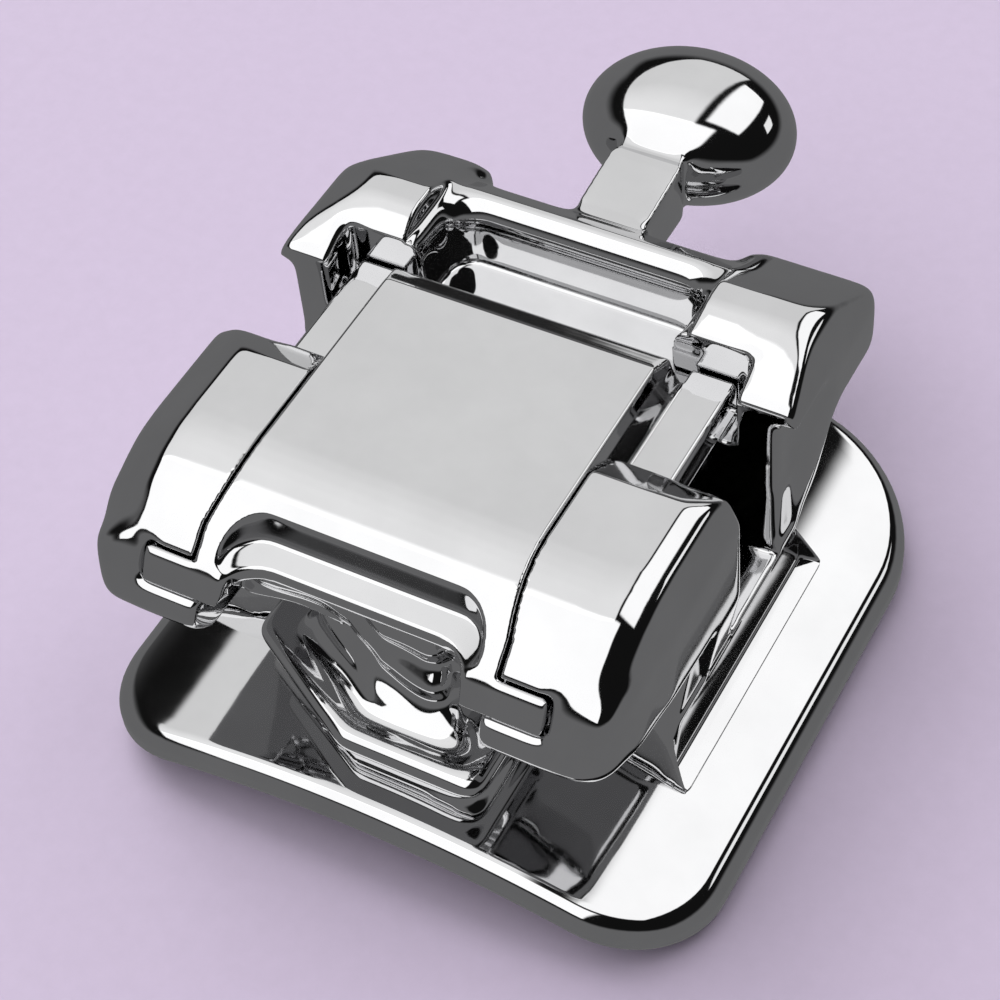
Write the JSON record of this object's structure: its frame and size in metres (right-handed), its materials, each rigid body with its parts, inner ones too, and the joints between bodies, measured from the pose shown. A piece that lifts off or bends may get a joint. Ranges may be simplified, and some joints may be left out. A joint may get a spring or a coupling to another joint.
{
  "type": "orthodontic bracket",
  "caption": "Self-ligating orthodontic bracket with tie wings, sliding door over the archwire slot, ball hook and curved bonding pad.",
  "frame": {"origin": "on the plane that the bonding base stands on, under the middle of the whole bracket's outline", "axes": "+X along the dental arch, +Y towards the gum and the ball hook, +Z away from the tooth"},
  "size_m": [0.0034, 0.0046, 0.0019],
  "materials": {
    "polished_steel": "mirror-polished stainless steel",
    "pad_steel": "mirror-polished stainless steel",
    "mesh_steel": "plain stainless mesh",
    "nickel_titanium": "drawn wire tube"
  },
  "bodies": {
    "bracket": {"bracket_body": "polished_steel", "retaining_spring": "nickel_titanium", "bonding_pad": "pad_steel", "retention_mesh": "mesh_steel"},
    "door": {"slide_door": "polished_steel"}
  },
  "joints": [
    {"name": "door_slide", "type": "slide", "parent": "bracket", "child": "door", "axis": [0, -1, 0], "range_m": [0, 0.00078]}
  ]
}
